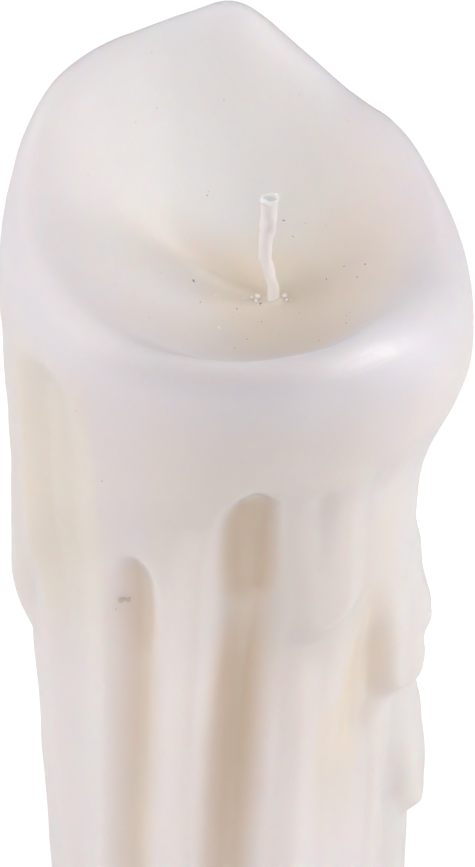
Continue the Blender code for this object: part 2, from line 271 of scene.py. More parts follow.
CREASE = [
    (1.5, -160, 0.0, 1.8), (5.0, -150, 1.8, 2.8), (8.4, -136, 2.5, 3.4), (12.5, -124, 2.3, 4.0),
    (16.0, -112, 1.6, 4.8), (20.0, -103, 0.8, 5.6), (25.0, -98, 0.2, 6.4), (30.0, -95, 0.0, 7.0),
]

COLLAR_SKIN = {-180: 7.0, -110: 7.4, -60: 7.0, -15: 6.6, 30: 6.8, 65: 7.4, 90: 7.6, 128: 7.2}
COLLAR_FOOT = {
    -180: 170, -132: 155, -110: 130, -90: 118, -60: 150, -30: 165, 0: 170, 48: 173, 65: 171, 77: 167,
    90: 163, 130: 165,
}
COLLAR_FADE = {-180: 20, -110: 20, -90: 12, -60: 20, 30: 18, 65: 24, 90: 35, 130: 24}
RUN_SKIN = {
    -180: 4.0, -132: 4.5, -90: 5.9, -60: 5.2, 0: 4.8, 30: 3.4, 48: 1.6, 65: 0.2, 90: -0.4, 108: 0.6,
    130: 2.2,
}
print("peak", PEAK, "mm, wick top", round(wick_high.z / MM, 1), "mm")

# %% [markdown]
# ## Drips and grooves
#
# A drip is a long lobe with a round foot. A groove is the same thing sunk in: a strip that no wax ran
# over. So one recipe makes both. Its rows give height, azimuth, half width and rise from the top end to
# the foot, and four widths say how softly it fades out at the left, right, top and foot.

# %% The table of drips and grooves
Run = namedtuple("Run", "rows left right top foot")
BELOW = -20

RUNS = {
    "wide_left_groove": Run(
        [(196, -52, 9.0, -1.3), (185, -52, 11.0, -2.1), (155, -53, 11.0, -2.2), (110, -54, 9.5, -1.6),
         (60, -54, 8.0, -1.0), (BELOW, -54, 8.0, -0.8)], left=9, right=9, top=6, foot=5),
    "left_front_groove": Run(
        [(158.5, -27.5, 4.0, -1.6), (151, -27.4, 4.9, -2.0), (140, -28.2, 5.0, -1.4), (128, -29.5, 4, -0.4)],
        left=4.5, right=3.6, top=2.2, foot=8),
    "left_front_valley": Run(
        [(157, -28.5, 6.0, -1.0), (146, -28, 7.8, -2.4), (130, -28, 8.0, -3.8), (110, -29.5, 8.0, -4.2),
         (85, -32, 8.0, -4.0), (BELOW, -34, 7.0, -2.0)], left=7.5, right=8, top=4, foot=5),
    "middle_rib": Run(
        [(170, -9, 4.0, 0.6), (160, -10, 5.5, 1.4), (148, -11, 6.0, 1.9), (120, -13, 6.4, 2.2),
         (85, -14.5, 6.4, 2.2), (BELOW, -16, 5.5, 1.4)], left=6.5, right=5.5, top=9, foot=5),
    "front_groove": Run(
        [(178.5, 5.0, 4.8, -2.8), (171, 2.8, 6.0, -3.4), (160, 2.4, 6.4, -3.0), (146, 2.0, 6.0, -1.0)],
        left=4.5, right=2.8, top=1.8, foot=10),
    "front_valley": Run(
        [(175, 4.0, 6.0, -1.6), (162, 2.4, 8.0, -2.8), (150, 2.2, 8.4, -3.8), (135, 0.4, 7.9, -5.6),
         (110, -1.6, 7.5, -6.0), (85, -3.2, 7.6, -5.1), (BELOW, -5, 7.3, -2.4)],
        left=7.5, right=6.5, top=4, foot=5),
    "right_front_rib": Run(
        [(136, 17, 5.0, 0.6), (124, 15.5, 7.0, 1.8), (100, 14.5, 7.5, 2.4), (80, 14, 7.5, 2.4),
         (BELOW, 13, 6.5, 1.6)], left=6, right=7, top=7, foot=5),
    "wide_drip": Run(
        [(185, 23, 8.5, 0.2), (165, 24, 9.6, 1.5), (150, 23.5, 9.8, 2.1), (138.5, 21.5, 9.2, 2.4)],
        left=7, right=6, top=8, foot=5.5),
    "wide_drip_channel": Run(
        [(177, 21, 3.8, -0.8), (168, 20.5, 4.2, -0.7), (154, 20, 3.4, -0.2)],
        left=4, right=4, top=2.4, foot=6),
    "right_hollow": Run(
        [(148, 40, 8.0, -0.4), (134, 41, 10.5, -2.2), (122, 41, 12.0, -3.6), (112, 40, 12.0, -3.0),
         (98, 37, 9.0, -0.6)], left=12, right=8, top=8, foot=9),
    "right_front_groove": Run(
        [(116, 35, 8.0, -0.4), (98, 36, 9.0, -0.7), (60, 36, 9.0, -0.8), (BELOW, 36, 9.0, -0.7)],
        left=6, right=4, top=8, foot=5),
    "right_sheet": Run(
        [(130, 76, 12, 1.6), (100, 74, 13, 2.0), (60, 74, 13, 2.2), (BELOW, 74, 13, 2.0)],
        left=8, right=8, top=10, foot=8),
    "right_drip": Run(
        [(142, 78, 8.0, 0.5), (127, 80, 11, 1.8), (112, 82, 11, 2.3)],
        left=8, right=6, top=9, foot=4),
    "ledge": Run(
        [(140, 65, 10.0, 0.3), (125, 62, 12.5, 1.5), (107.5, 60.5, 12.5, 3.0)],
        left=10, right=11, top=9, foot=2.6),
    "low_right_drip": Run(
        [(100, 75, 9.0, 0.3), (88, 77, 11, 1.3), (72, 78, 11.5, 3.0), (62, 79, 11, 3.3)],
        left=6.5, right=6, top=9, foot=4),
    "low_right_dent": Run(
        [(96, 56, 4.0, -0.3), (86, 57, 6.0, -0.8), (72, 58, 6.0, -0.9)], left=6, right=5, top=6, foot=4),
    "left_drip": Run(
        [(205, -86, 9.0, 0.0), (170, -86, 9.0, 0.2), (150, -86, 9.0, 0.6), (127, -86, 9.5, 1.7),
         (111, -86, 9.0, 2.0)], left=7, right=6, top=12, foot=9),
    "back_right_groove": Run(
        [(170, 112, 5.5, -1.2), (140, 113, 6.0, -2.2), (60, 112, 5.5, -2.0), (BELOW, 112, 5.0, -1.4)],
        left=5, right=5, top=5, foot=5),
    "back_right_drip": Run(
        [(160, 129, 7.0, 0.8), (120, 129, 7.0, 2.0), (98, 130, 6.5, 2.6)],
        left=4, right=4, top=12, foot=4),
    "back_deep_groove": Run(
        [(183, 144, 4.6, -4.6), (150, 145, 5.0, -4.8), (100, 147, 4.8, -4.0), (BELOW, 149, 4.4, -2.4)],
        left=4, right=3.4, top=1.8, foot=5),
    "back_wide_groove": Run(
        [(160, 171, 6.5, -2.4), (120, 172, 6.5, -3.0), (60, 173, 6.0, -2.2), (BELOW, 173, 6.0, -1.4)],
        left=5, right=6, top=4, foot=5),
    "back_drip": Run(
        [(170, -171, 6.5, 0.6), (130, -171, 6.5, 1.8), (112, -170, 6.0, 2.4)],
        left=4, right=3.5, top=10, foot=3.4),
    "back_left_deep_groove": Run(
        [(181, -154, 4.4, -4.6), (150, -154, 4.8, -4.8), (100, -153, 4.8, -4.2),
         (BELOW, -150, 4.4, -2.4)], left=3.4, right=4.4, top=1.8, foot=5),
    "back_left_groove": Run(
        [(164, -129, 4.0, -3.4), (130, -129, 4.4, -4.0), (80, -128, 4.4, -3.2), (BELOW, -126, 4.0, -2.0)],
        left=4, right=3, top=2.4, foot=5),
    "left_back_groove": Run(
        [(150, -106, 5.0, -2.0), (110, -106, 5.5, -2.6), (60, -107, 5.5, -2.0), (BELOW, -107, 5.0, -1.4)],
        left=5, right=5, top=5, foot=5),
}
print(len(RUNS), "drips and grooves")

# %% The form of the side


def run_rise(run, azimuth, height):
    """How proud a run stands: its rise, faded by the distance in from its round-ended outline."""
    rows = run.rows[::-1]
    levels = [row[0] for row in rows]
    middle, half_width, rise = (smooth_curve(height, levels, [row[k] for row in rows]) for k in (1, 2, 3))
    across = SKIN_RADIUS * np.radians((azimuth - middle + 180) % 360 - 180)
    over_top = height - (levels[-1] - half_width)
    under_foot = (levels[0] + half_width) - height
    along = np.maximum(0, np.maximum(over_top, under_foot))
    reach = np.hypot(across, along) + 1e-9
    endwise = (along / reach) ** 2
    side_fade = np.where(across < 0, run.left, run.right)
    end_fade = np.where(over_top > under_foot, run.top, run.foot)
    fade = np.minimum(side_fade * (1 - endwise) + end_fade * endwise, half_width)
    return rise * ease((half_width - reach) / fade)


def skin_thickness(azimuth, height):
    """The collar or the sheet under it, plus every drip and groove: how much wax lies over the pillar."""
    collar, sheet = around(COLLAR_SKIN, azimuth), around(RUN_SKIN, azimuth)
    foot, fade = around(COLLAR_FOOT, azimuth), around(COLLAR_FADE, azimuth)
    skin = sheet + (collar - sheet) * ease((height - foot) / fade + 0.5)
    return skin + sum(run_rise(run, azimuth, height) for run in RUNS.values())


# %% [markdown]
# ## The bowl
#
# Molten wax finds a tilted dish, and the rim's own ups and downs show only near its edge. So the bowl is
# a dish plus an edge term. A crease runs from the wick to the back left, where two flows met, and the
# wax climbs a little way up the wick that it wets.

# %% The form of the bowl
WETTED_RADIUS = 0.98
MENISCUS_HEIGHT = 0.9
MENISCUS_REACH = 0.9
MENISCUS_HIGH_SIDE = 75


def bowl_height(azimuth, share):
    """The bowl a share of the way from the wick to the crest: a tilted dish, then the rim's edge."""
    steepness, roundness = around(BOWL_STEEPNESS, azimuth), around(RIM_ROUNDNESS, azimuth)
    dish_edge = DISH_MIDDLE + DISH_TILT * np.cos(np.radians(azimuth - DISH_HIGH_SIDE))
    dish = 1 - (1 - share ** steepness) ** roundness
    edge = 1 - (1 - share ** (steepness * EDGE_STEEPNESS)) ** roundness
    crest = around(CREST_HEIGHT, azimuth)
    return BOWL_FLOOR + (dish_edge - BOWL_FLOOR) * dish + (crest - dish_edge) * edge


def crease_depth(azimuth, reach):
    """A bent valley: at each distance from the wick it has an azimuth, a depth and a width."""
    reaches = [row[0] for row in CREASE]
    middle, depth, width = (smooth_curve(reach, reaches, [row[k] for row in CREASE]) for k in (1, 2, 3))
    across = reach * np.radians((azimuth - middle + 180) % 360 - 180)
    return depth * np.exp(-(across / width) ** 2)


def meniscus(azimuth, reach):
    """Wax that climbs the wick: it falls off with the distance, and is higher on one side."""
    uneven = 1 + 0.6 * np.cos(np.radians(azimuth - MENISCUS_HIGH_SIDE))
    return MENISCUS_HEIGHT * uneven * np.exp(-(reach - WETTED_RADIUS) / MENISCUS_REACH)


def wick_drift(height):
    """How far right of the middle the wick is, below the bowl floor."""
    return WICK_OFFSET * (height / BOWL_FLOOR) ** WICK_LEAN


# %% [markdown]
# ## One closed sheet
#
# The whole body is a grid bent round until both its directions close: one goes round the candle, and the
# other goes up the outside, over the rim, down the bowl, down the wick's bore and out across the base.
# That gives a skin with no seam and no pole, and faces of about the same size everywhere.

# %% The rings of the body
COLUMNS = 392
SIDE_RINGS = 152
SHOULDER_RINGS = 22
BOWL_RINGS = 58
BOWL_PACKING = 1.15
BORE_RINGS = 4
_, tab_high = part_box("wick_tab")
RECESS_RADIUS = tab_high.x / MM + 0.3
RECESS_TOP = 1.0
BOWL_SHARES = (1 - np.linspace(0, 1, BOWL_RINGS + 1)[1:]) ** BOWL_PACKING
NECK_BORE = 2.3
NECK_TOP = tab_high.z / MM + 0.3


def rings(azimuth, radius, height, shift=0.0):
    """Points at a radius and height round an axis that is shifted along x."""
    radius, height, shift, turn = np.broadcast_arrays(radius, height, shift, np.radians(azimuth))
    return np.stack([shift + radius * np.sin(turn), -radius * np.cos(turn), height], axis=-1)


def outside(azimuth):
    """From the foot of the pillar to where the shoulder starts to turn over."""
    top = around(CREST_HEIGHT, azimuth) - around(SHOULDER_DROP, azimuth)
    height = EDGE_ROUND + np.linspace(0, 1, SIDE_RINGS) * (top - EDGE_ROUND)
    return rings(azimuth, PILLAR_RADIUS + skin_thickness(azimuth, height), height)


def shoulder(azimuth):
    """A quarter of an ellipse that leaves the side upright and meets the crest level."""
    turn = np.linspace(0, np.pi / 2, SHOULDER_RINGS + 1)[1:]
    drop = around(SHOULDER_DROP, azimuth)
    height = around(CREST_HEIGHT, azimuth) - drop * (1 - np.sin(turn))
    crest = around(CREST_RADIUS, azimuth)
    side = PILLAR_RADIUS + skin_thickness(azimuth, height)
    return rings(azimuth, crest + (side - crest) * np.cos(turn), height)


def bowl(azimuth):
    """From the crest down to the wick, with the ring's middle moving over to the wick."""
    share = BOWL_SHARES
    radius = WETTED_RADIUS + (around(CREST_RADIUS, azimuth) - WETTED_RADIUS) * share
    height = bowl_height(azimuth, share) - crease_depth(azimuth, radius) + meniscus(azimuth, radius)
    return rings(azimuth, radius, height, WICK_OFFSET * (1 - share))


def bore(azimuth):
    """The wick's bore, down to where it widens for the tab's neck."""
    height = np.linspace(BOWL_FLOOR, NECK_TOP, BORE_RINGS + 1)[1:]
    return rings(azimuth, WICK_RADIUS, height, wick_drift(height))


def underside(azimuth):
    """The neck's bore, the tab's recess and the flat base, out to its rounded edge."""
    radius = np.array([NECK_BORE, NECK_BORE, RECESS_RADIUS, RECESS_RADIUS])
    height = np.array([NECK_TOP, RECESS_TOP, RECESS_TOP, 0.0])
    side = PILLAR_RADIUS + skin_thickness(azimuth, EDGE_ROUND)
    base = [rings(azimuth, side - EDGE_ROUND * inset, EDGE_ROUND * rise)
            for inset, rise in ((4, 0.0), (1.0, 0.0), (0.3, 0.3))]
    return np.concatenate([rings(azimuth, radius, height)] + base, axis=1)


azimuth = np.linspace(-180, 180, COLUMNS, endpoint=False)[:, None]
sections = [outside(azimuth), shoulder(azimuth), bowl(azimuth), bore(azimuth), underside(azimuth)]
body = np.concatenate(sections, axis=1)
print("grid", body.shape[:2], "which is", 2 * body.shape[0] * body.shape[1], "triangles")

# %% [markdown]
# ## Small unevenness
#
# No melted surface is quite smooth. Three sums of waves in random directions, from long to short and
# under two tenths of a millimetre in spread, bend the reflections the way soft wax does. They are added
# along each point's normal.

# %% Waves over the skin
rng = np.random.default_rng(7)


def grid_normals(points):
    """The outward direction at each point of a grid that closes both ways."""
    along = np.roll(points, -1, axis=1) - np.roll(points, 1, axis=1)
    across = np.roll(points, -1, axis=0) - np.roll(points, 1, axis=0)
    normal = np.cross(across, along)
    return normal / (np.linalg.norm(normal, axis=-1, keepdims=True) + 1e-12)


def waves(points, length, height, count=14):
    """A sum of sines in random directions, of about one wavelength, whose spread is the height."""
    direction = rng.normal(size=(count, 3))
    direction *= 2 * np.pi / length / np.linalg.norm(direction, axis=1, keepdims=True)
    phase = rng.uniform(0, 2 * np.pi, count)
    return height * np.sqrt(2 / count) * np.sin(points @ direction.T + phase).sum(axis=-1)


visible = np.ones(body.shape[1])
hidden_from = sum(section.shape[1] for section in sections[:3])
visible[hidden_from:] = 0
relief = waves(body, 34, 0.16) + waves(body, 13, 0.06) + waves(body, 5, 0.018)
body += grid_normals(body) * (relief * visible)[..., None]
print("relief from", round(relief.min(), 2), "to", round(relief.max(), 2), "mm")

# %% [markdown]
# ## From arrays to a mesh
#
# The grid's points go into a mesh as one array, and so do its faces, which are index arithmetic. A
# value for each point rides along as an attribute, which the material reads.

# %% Make the wax body


def grid_mesh(name, points, close_along=True):
    """A mesh from a grid of points in millimetres, or from a stack of such grids.

    Every grid closes round its first direction. It closes round the second one too, or else a flat
    face caps each end.
    """
    index = np.arange(points.size // 3).reshape((-1,) + points.shape[-3:-1])
    spans = index.shape[2] - (0 if close_along else 1)
    beside, after = np.roll(index, -1, axis=1), np.roll(index, -1, axis=2)
    quads = np.stack([index, beside, np.roll(beside, -1, axis=2), after], axis=-1)[:, :, :spans]
    corners = quads.reshape(-1)
    starts = np.arange(0, corners.size, 4)
    if not close_along:
        caps = np.concatenate([index[:, ::-1, 0], index[:, :, -1]])
        starts = np.concatenate([starts, corners.size + index.shape[1] * np.arange(len(caps))])
        corners = np.concatenate([corners, caps.reshape(-1)])
    mesh = bpy.data.meshes.new(name)
    mesh.vertices.add(index.size)
    mesh.vertices.foreach_set("co", (points.reshape(-1) * MM).astype(np.float32))
    mesh.loops.add(corners.size)
    mesh.loops.foreach_set("vertex_index", corners.astype(np.int32))
    mesh.polygons.add(len(starts))
    mesh.polygons.foreach_set("loop_start", starts.astype(np.int32))
    mesh.update(calc_edges=True)
    mesh.validate()
    mesh.shade_smooth()
    return mesh


def add_value(mesh, name, values):
    """A number for each point, which a material can read by name."""
    attribute = mesh.attributes.new(name, "FLOAT", "POINT")
    attribute.data.foreach_set("value", np.ascontiguousarray(values, dtype=np.float32).reshape(-1))


def place(mesh, material):
    """An object from a finished mesh, fixed to the candle."""
    mesh.materials.append(material)
    piece = bpy.data.objects.new(mesh.name, mesh)
    bpy.context.collection.objects.link(piece)
    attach(piece, "root")
    return piece


body_mesh = grid_mesh("melted_wax", body)
body_mesh.set_sharp_from_angle(angle=np.radians(60))

# %% [markdown]
# ## Colours of the wax, with painted light and shade
#
# The pillar is cream, and the wax that ran over it cooled with a pale bloom. So the skin is a mix of a
# few colours, each with its own number at every point. Cream shows where no wax ran and on the bowl's
# floor, which was molten last, and in the hollows and deep in the bowl it is partly painted warm shade.
# The grooves, the crease and the floor by the front lip have a painted amber shade. The front lip and
# the collar under it have a painted grey shade, the rim a painted cool light, the lowest runs a painted
# bounce light from the table and a glossy patch on the lip a painted highlight. The bowl's back wall
# is palest.

# %% How much of each colour a place has
SIDE_CREAM = {
    -180: 0.5, -130: 0.5, -95: 0.25, -55: 0.25, -40: 0.1, -15: 0.05, 20: 0.1, 50: 0.2, 90: 0.1, 140: 0.4,
}
# Patches of extra cream: some are pillar left bare, and some are partly painted warm shade in hollows.
BARE_AND_SHADE_PATCHES = [
    (-68, -37, 122, 196, 0.55), (22, 38, BELOW, 118, 0.8), (36, 54, 112, 160, 0.35), (-22, 36, 128, 200, 0.3),
]
SIDE_PALE = {-180: 0.3, -100: 0.1, -60: 0.0, 40: 0.0, 60: 0.4, 85: 0.65, 130: 0.4}
BOWL_CREAM_REACH = {-180: 0.6, -120: 0.55, -90: 0.5, -50: 0.5, 0: 0.65, 30: 0.8, 60: 1.0, 100: 1.0, 140: 0.9}
BOWL_PALE = {
    -180: 0.95, -140: 1.0, -110: 0.75, -80: 0.6, -50: 0.3, 0: 0.1, 60: 0.0, 90: 0.1, 130: 0.45, 155: 0.8,
}
CLOUDED_REACH = 5.0
# A glossy patch near the lip's crest: its gloss and grain are real, and its lighter tint is a painted
# highlight.
GLOSS_AND_HIGHLIGHT_AT, GLOSS_AND_HIGHLIGHT_BELOW = 32, 2.4
# Painted shade: the amber tint is full where the grooves cut this deep, and in the crease at this depth.
DEEPEST = 6.0
CREASE_DARKEST = 4.5
# Painted bounce light from the table: below these heights the runs get a lighter tint.
BOUNCE_LIGHT_BELOW = {-180: 150, -60: 150, -30: 165, 4: 165, 15: 128, 40: 110, 60: 60, 95: 60, 140: 150}


def groove_depth(azimuth, height):
    """How deep the grooves cut in, all their sinking added up. The widest one is too shallow to count."""
    grooves = [run for name, run in RUNS.items()
               if min(row[3] for row in run.rows) < -1.5 and name != "wide_left_groove"]
    return -sum(run_rise(run, azimuth, height) for run in grooves)


def tints():
    """For each colour, the share of it at each point of the grid, none of it out of sight."""
    side = np.concatenate(sections[:2], axis=1)[..., 2]
    below_crest = around(CREST_HEIGHT, azimuth) - side
    cream = around(SIDE_CREAM, azimuth) * ease((below_crest - 14) / 16)
    for left, right, low, high, amount in BARE_AND_SHADE_PATCHES:
        across = ease((azimuth - left) / 5 + 0.5) * ease((right - azimuth) / 5 + 0.5)
        cream += amount * across * ease((side - low) / 24 + 0.5) * ease((high - side) / 8 + 0.5)
    # Painted shade: an amber tint that grows with how deep the grooves cut in.
    painted_amber_shade = ease(groove_depth(azimuth, side) / DEEPEST)
    front, lip = np.exp(-((azimuth - 25) / 45) ** 4), np.exp(-(azimuth / 32) ** 4)
    # Painted cool light: a lilac tint on the rim, strongest towards the front right.
    painted_cool_light = (0.7 + 0.3 * front) * (1 - ease((below_crest - 2) / 17))
    # Painted shade: grey on the crest of the front lip.
    painted_grey_shade = 0.9 * lip * (1 - ease(below_crest / 8))
    # A weaker painted shade on the collar under the front lip, where there is no amber.
    shaded = np.exp(-((azimuth - 15) / 28) ** 4) * ease(below_crest / 8) * (1 - ease((below_crest - 60) / 20))
    painted_grey_shade += 0.26 * shaded * (1 - painted_amber_shade)
    pale = around(SIDE_PALE, azimuth) * ease((below_crest - 8) / 20)
    # The glossy patch on the lip. Its tint is a painted highlight.
    rubbed_gloss_and_painted_highlight = np.exp(-((azimuth - GLOSS_AND_HIGHLIGHT_AT) / 9) ** 2) * np.exp(-((below_crest - GLOSS_AND_HIGHLIGHT_BELOW) / 1.2) ** 2)
    # Painted bounce light: the lowest runs get a lighter tint.
    painted_bounce_light = ease((around(BOUNCE_LIGHT_BELOW, azimuth) - side) / 45)
    share = BOWL_SHARES
    fade = around(BOWL_CREAM_REACH, azimuth)
    reach = WETTED_RADIUS + (around(CREST_RADIUS, azimuth) - WETTED_RADIUS) * share
    # Cream grows towards the bowl's floor: partly the wax's own colour, partly painted warm shade deep in the
    # bowl.
    bowl_cream_and_warm_shade = 0.95 * (1 - ease((share - fade * 0.25) / (fade * 0.75)))
    # Painted cool light near the bowl's crest, as on the rim.
    bowl_painted_cool_light = (0.6 + 0.4 * front) * ease((share - 0.72 + 0.32 * lip) / (0.28 + 0.22 * lip))
    # Painted shadow of the front lip on the floor right of the wick, in amber and grey.
    floor = np.exp(-((azimuth - 50) / 85) ** 4) * (1 - ease((share - 0.2) / 0.65))
    bowl_painted_grey_shade = 0.9 * lip * ease((share - 0.86) / 0.12) + 0.22 * floor
    bowl_pale = around(BOWL_PALE, azimuth) * ease((share - 0.2) / 0.2)
    rest = np.ones((COLUMNS, body.shape[1] - side.shape[1] - BOWL_RINGS))
    # Painted amber shade on that floor and along the crease.
    bowl_painted_amber_shade = 0.65 * floor + crease_depth(azimuth, reach) / CREASE_DARKEST
    parts = {"cream": (cream, bowl_cream_and_warm_shade), "pale": (pale, bowl_pale), "painted_bounce_light": (painted_bounce_light, 0 * bowl_cream_and_warm_shade),
             "painted_cool_light": (painted_cool_light, bowl_painted_cool_light), "painted_amber_shade": (painted_amber_shade, bowl_painted_amber_shade), "painted_grey_shade": (painted_grey_shade, bowl_painted_grey_shade),
             "rubbed_gloss_and_painted_highlight": (rubbed_gloss_and_painted_highlight, 0 * bowl_cream_and_warm_shade)}
    return {name: np.concatenate([*pair, 0 * rest], axis=1) for name, pair in parts.items()}


def clarity():
    """How far light goes into the wax: less near the wick, whose fibres and soot stop it."""
    reach = np.concatenate([np.full((COLUMNS, hidden_from - BOWL_RINGS), PILLAR_RADIUS),
                            WETTED_RADIUS + (PILLAR_RADIUS - WETTED_RADIUS) * BOWL_SHARES + 0 * azimuth,
                            np.full((COLUMNS, body.shape[1] - hidden_from), WETTED_RADIUS)], axis=1)
    return 1 - 0.88 * np.exp(-(reach / CLOUDED_REACH) ** 2)


mix = tints()
for name, values in mix.items():
    add_value(body_mesh, name, values)
add_value(body_mesh, "clarity", clarity())
print("colours:", {name: round(float(values.mean()), 2) for name, values in mix.items()})

# %% [markdown]
# ## Wax
#
# Wax is a translucent solid: light goes a few millimetres in and comes out again, which softens every
# shadow and warms the deep hollows. Principled's subsurface does that. Its skin is satin, with a little
# grain that breaks up the highlights.

# %% The wax material
LIGHT_DEPTH = 8 * MM
BLOOM_COLOUR = (0.82, 0.755, 0.755, 1)
# The cream colour is the pillar's own, and partly painted warm shade in the hollows and the bowl.
CREAM_COLOUR = (0.84, 0.75, 0.65, 1)
# Tints over the bloom: the amber and the grey are painted shade, the lilac is painted cool light, the light
# pink is painted bounce light from the table, and the whitest is a painted highlight.
TINTS = {
    "pale": (0.82, 0.795, 0.785, 1), "painted_bounce_light": (0.865, 0.80, 0.795, 1), "painted_cool_light": (0.79, 0.77, 0.82, 1),
    "painted_amber_shade": (0.84, 0.70, 0.565, 1), "painted_grey_shade": (0.66, 0.635, 0.66, 1), "rubbed_gloss_and_painted_highlight": (0.87, 0.84, 0.87, 1),
}


def new_material(name):
    """An empty node material, as its node tree, its shader and a function that adds nodes."""
    material = bpy.data.materials.new(name)
    material.use_nodes = True
    tree = material.node_tree

    def node(kind, **settings):
        made = tree.nodes.new("ShaderNode" + kind)
        for key, value in settings.items():
            if key in made.inputs:
                made.inputs[key].default_value = value
            else:
                setattr(made, key, value)
        return made

    return material, tree, tree.nodes["Principled BSDF"], node


def wax_material():
    material, tree, shader, node = new_material("run_wax")
    link = tree.links.new
    place_in = node("TexCoord").outputs["Object"]
    cream_in = node("Attribute", attribute_name="cream").outputs["Fac"]

    mottle = node("TexNoise", Scale=90.0, Detail=4.0, Roughness=0.6)
    link(place_in, mottle.inputs["Vector"])
    uneven = node("MapRange", **{"From Min": 0.3, "From Max": 0.7, "To Min": -0.08, "To Max": 0.08})
    link(mottle.outputs["Fac"], uneven.inputs["Value"])
    amount = node("Math", operation="ADD", use_clamp=True)
    link(cream_in, amount.inputs[0])
    link(uneven.outputs["Result"], amount.inputs[1])
    colour = node("Mix", data_type="RGBA")
    colour.inputs["A"].default_value = BLOOM_COLOUR
    colour.inputs["B"].default_value = CREAM_COLOUR
    link(amount.outputs["Value"], colour.inputs["Factor"])
    for name, tint in TINTS.items():
        tinted = node("Mix", data_type="RGBA")
        link(node("Attribute", attribute_name=name).outputs["Fac"], tinted.inputs["Factor"])
        link(colour.outputs["Result"], tinted.inputs["A"])
        tinted.inputs["B"].default_value = tint
        colour = tinted
    link(colour.outputs["Result"], shader.inputs["Base Color"])

    shader.inputs["Subsurface Weight"].default_value = 0.9
    shader.inputs["Subsurface Radius"].default_value = (1.0, 0.6, 0.4)
    depth = node("Math", operation="MULTIPLY")
    depth.inputs[1].default_value = LIGHT_DEPTH
    link(node("Attribute", attribute_name="clarity").outputs["Fac"], depth.inputs[0])
    link(depth.outputs["Value"], shader.inputs["Subsurface Scale"])
    shader.inputs["IOR"].default_value = 1.43

    rough = node("TexNoise", Scale=260.0, Detail=5.0)
    link(place_in, rough.inputs["Vector"])
    satin = node("MapRange", **{"From Min": 0.3, "From Max": 0.7, "To Min": 0.36, "To Max": 0.5})
    link(rough.outputs["Fac"], satin.inputs["Value"])
    gloss_and_highlight_in = node("Attribute", attribute_name="rubbed_gloss_and_painted_highlight").outputs["Fac"]
    gloss = node("MapRange", **{"To Min": 1.0, "To Max": 0.35})
    link(gloss_and_highlight_in, gloss.inputs["Value"])
    polished = node("Math", operation="MULTIPLY")
    link(satin.outputs["Result"], polished.inputs[0])
    link(gloss.outputs["Result"], polished.inputs[1])
    link(polished.outputs["Value"], shader.inputs["Roughness"])

    grain = node("TexNoise", Scale=1400.0, Detail=3.0)
    link(place_in, grain.inputs["Vector"])
    bump = node("Bump", Distance=0.0002)
    coarse = node("MapRange", **{"To Min": 0.12, "To Max": 0.4})
    link(gloss_and_highlight_in, coarse.inputs["Value"])
    link(coarse.outputs["Result"], bump.inputs["Strength"])
    link(grain.outputs["Fac"], bump.inputs["Height"])
    link(bump.outputs["Normal"], shader.inputs["Normal"])
    return material


wax = wax_material()
melted_wax = place(body_mesh, wax)
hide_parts("wax_body")
print("wax body:", len(body_mesh.polygons), "faces")

# %% [markdown]
# ## The wick
#
# The wick is braided cotton soaked in wax. It leans left out of the bowl, turns up, and flares to its
# cut end, whose middle is a shallow hollow.

# %% The wick's path and skin
WICK_BENDS = [
    (BOWL_FLOOR, 6.5, 0.0, 1.3), (189.5, 6.5, 0.0, 1.05), (191.0, 6.4, 0.0, 1.0), (194.0, 5.8, 0.0, 1.1),
    (196.0, 5.3, 0.0, 1.1), (198.0, 4.9, 0.0, 1.1), (201.0, 5.0, 0.0, 1.25), (205.0, 5.4, 0.0, 1.4),
    (209.0, 5.6, 0.0, 1.5), (211.0, 5.7, 0.0, 1.45),
]
WICK_COLUMNS = 48
WICK_RINGS = 150
BRAID_PITCH = 4.2
BRAID_HEIGHT = 0.045
LIP_HEIGHT = 210.3
LIP_TURN = np.radians(215)


def make_wick_points():
    """Rings up the path, uneven and ridged like a braid, with a torn lip; then down into the cut end."""
    turn = np.linspace(0, 2 * np.pi, WICK_COLUMNS, endpoint=False)[:, None]
    levels = [row[0] for row in WICK_BENDS]
    top, bottom = wick_high.z / MM - 0.15, wick_low.z / MM
    stem = np.linspace(bottom, BOWL_FLOOR - 4, 12)
    height = np.concatenate([stem, np.linspace(BOWL_FLOOR - 3, top, WICK_RINGS)])
    x, y, radius = (smooth_curve(height, levels, [row[k] for row in WICK_BENDS]) for k in (1, 2, 3))
    x = np.where(height < BOWL_FLOOR, wick_drift(height), x)
    phase = 2 * np.pi * height / BRAID_PITCH
    braid = np.abs(np.sin(1.5 * turn + phase / 2)) + np.abs(np.sin(1.5 * turn - phase / 2))
    lumps = 0.06 * np.sin(2 * turn + 0.9 * height) + 0.05 * np.sin(turn - 1.7 * height + 1.0)
    lip = np.exp(-((height - LIP_HEIGHT) / 0.45) ** 2) * np.maximum(0, np.cos(turn - LIP_TURN)) ** 2
    section = radius + BRAID_HEIGHT * (braid - 1.3) + lumps + 0.34 * lip
    ragged = 0.16 * np.sin(2 * turn + 0.6) + 0.1 * np.sin(5 * turn) + 0.05 * np.sin(9 * turn + 2.0)
    rise = height + (ragged - 0.2) * ease((height - LIP_HEIGHT + 1.2) / 1.6)
    side = np.stack([x + section * np.cos(turn), y + section * np.sin(turn), rise + 0 * turn], axis=-1)
    share = np.array([0.94, 0.86, 0.76, 0.66, 0.5, 0.3, 0.04])
    sink = np.array([0.05, -0.03, -0.2, -0.34, -0.42, -0.46, -0.48])
    end = section[:, -1:] * share
    over = np.stack([x[-1] + end * np.cos(turn), y[-1] + end * np.sin(turn),
                     top - 0.2 + sink + ragged * share ** 2], axis=-1)
    foot = np.stack([section[:, :1] * 0.04 * np.cos(turn), section[:, :1] * 0.04 * np.sin(turn),
                     bottom + 0 * turn], axis=-1)
    return np.concatenate([foot, side, over], axis=1)


